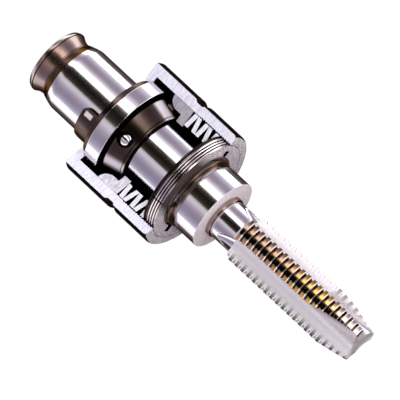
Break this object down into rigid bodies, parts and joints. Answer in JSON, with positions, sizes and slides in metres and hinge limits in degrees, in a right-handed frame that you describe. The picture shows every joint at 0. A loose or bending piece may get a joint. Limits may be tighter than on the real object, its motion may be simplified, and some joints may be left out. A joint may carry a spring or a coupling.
{
  "type": "tapping collet",
  "caption": "Quick-change tapping collet with a ball-detent overload clutch, cut away to show the clutch, holding a spiral-point tap.",
  "frame": {"origin": "on the axis, at the front end of the ground shank land, level with the drive lug's rear face", "axes": "+X along the axis to the tap's tip, +Z out of the middle of the cut-away, +Y across it"},
  "size_m": [0.1103, 0.0356, 0.0328],
  "materials": {
    "ground_steel": "ground and polished",
    "dark_steel": "blackened, brown sheen",
    "head_steel": "dark brown, turned",
    "black_steel": "black oxide",
    "sleeve_steel": "turned",
    "housing_steel": "bright, cut faces matt",
    "spring_steel": "bright strip",
    "ring_steel": "fine grey speckle on the face",
    "ball_steel": "polished",
    "tap_steel": "coated cutting steel, ground flutes"
  },
  "bodies": {
    "drive_body": {"drive_shank": "ground_steel", "cage_lock_screws": "black_steel", "drive_collar": "dark_steel", "ball_cage": "dark_steel", "housing": "housing_steel", "disc_spring_1": "spring_steel", "disc_spring_2": "spring_steel", "disc_spring_3": "spring_steel", "disc_spring_4": "spring_steel", "disc_spring_5": "spring_steel"},
    "spindle": {"spindle": "ground_steel", "nose_sleeve": "ground_steel", "retaining_ring": "black_steel", "spring_clip": "black_steel", "release_spring": "black_steel"},
    "tap": {"tap": "tap_steel"},
    "release_sleeve": {"release_sleeve": "sleeve_steel", "release_ring": "head_steel"},
    "lock_ball_1": {"lock_ball_1": "ball_steel"},
    "lock_ball_2": {"lock_ball_2": "ball_steel"},
    "clutch_ball_1": {"clutch_ball_1": "ball_steel"},
    "clutch_ball_2": {"clutch_ball_2": "ball_steel"},
    "clutch_ball_3": {"clutch_ball_3": "ball_steel"},
    "clutch_ball_4": {"clutch_ball_4": "ball_steel"},
    "pressure_ring": {"pressure_ring": "housing_steel"},
    "spring_seat": {"thrust_washer": "sleeve_steel"},
    "adjusting_ring": {"adjusting_ring": "ring_steel"}
  },
  "joints": [
    {"name": "clutch_slip", "type": "hinge", "parent": "drive_body", "child": "spindle", "pos_m": [0, 0, 0], "axis": [1, 0, 0], "continuous": true},
    {"name": "tap_pull", "type": "slide", "parent": "spindle", "child": "tap", "axis": [1, 0, 0], "range_m": [0, 0.045]},
    {"name": "release_pull", "type": "slide", "parent": "spindle", "child": "release_sleeve", "axis": [-1, 0, 0], "range_m": [0, 0.003], "stiffness_N_per_m": 800, "springref_m": -0.004, "deforming": ["release_spring"]},
    {"name": "clutch_lift", "type": "slide", "parent": "drive_body", "child": "pressure_ring", "axis": [1, 0, 0], "range_m": [0, 0.0007], "stiffness_N_per_m": 3000, "springref_m": -0.001, "deforming": ["disc_spring_1", "disc_spring_2", "disc_spring_3", "disc_spring_4", "disc_spring_5"]},
    {"name": "seat_travel", "type": "slide", "parent": "drive_body", "child": "spring_seat", "axis": [-1, 0, 0], "range_m": [0, 0.00125], "deforming": ["disc_spring_1", "disc_spring_2", "disc_spring_3", "disc_spring_4", "disc_spring_5"]},
    {"name": "torque_setting", "type": "hinge", "parent": "spring_seat", "child": "adjusting_ring", "pos_m": [0, 0, 0], "axis": [1, 0, 0], "range_deg": [0, 540]},
    {"name": "lock_ball_1_slide", "type": "slide", "parent": "spindle", "child": "lock_ball_1", "axis": [0, -0.2419, 0.9703], "range_m": [0, 0.0004013]},
    {"name": "lock_ball_2_slide", "type": "slide", "parent": "spindle", "child": "lock_ball_2", "axis": [0, 0.2419, -0.9703], "range_m": [0, 0.0004013]},
    {"name": "clutch_ball_1_slide", "type": "slide", "parent": "drive_body", "child": "clutch_ball_1", "axis": [0, -0.2419, 0.9703], "range_m": [0, 0.0004051]},
    {"name": "clutch_ball_2_slide", "type": "slide", "parent": "drive_body", "child": "clutch_ball_2", "axis": [0, -0.9703, -0.2419], "range_m": [0, 0.0004051]},
    {"name": "clutch_ball_3_slide", "type": "slide", "parent": "drive_body", "child": "clutch_ball_3", "axis": [0, 0.2419, -0.9703], "range_m": [0, 0.0004051]},
    {"name": "clutch_ball_4_slide", "type": "slide", "parent": "drive_body", "child": "clutch_ball_4", "axis": [0, 0.9703, 0.2419], "range_m": [0, 0.0004051]}
  ],
  "couplings": [
    {"joint": "seat_travel", "follows": "torque_setting", "m_per_rad": 0.00011937},
    {"joint": "lock_ball_1_slide", "follows": "release_pull", "ratio": 0.13343},
    {"joint": "lock_ball_2_slide", "follows": "release_pull", "ratio": 0.13343},
    {"joint": "clutch_ball_1_slide", "follows": "clutch_lift", "ratio": 0.57735},
    {"joint": "clutch_ball_2_slide", "follows": "clutch_lift", "ratio": 0.57735},
    {"joint": "clutch_ball_3_slide", "follows": "clutch_lift", "ratio": 0.57735},
    {"joint": "clutch_ball_4_slide", "follows": "clutch_lift", "ratio": 0.57735}
  ]
}
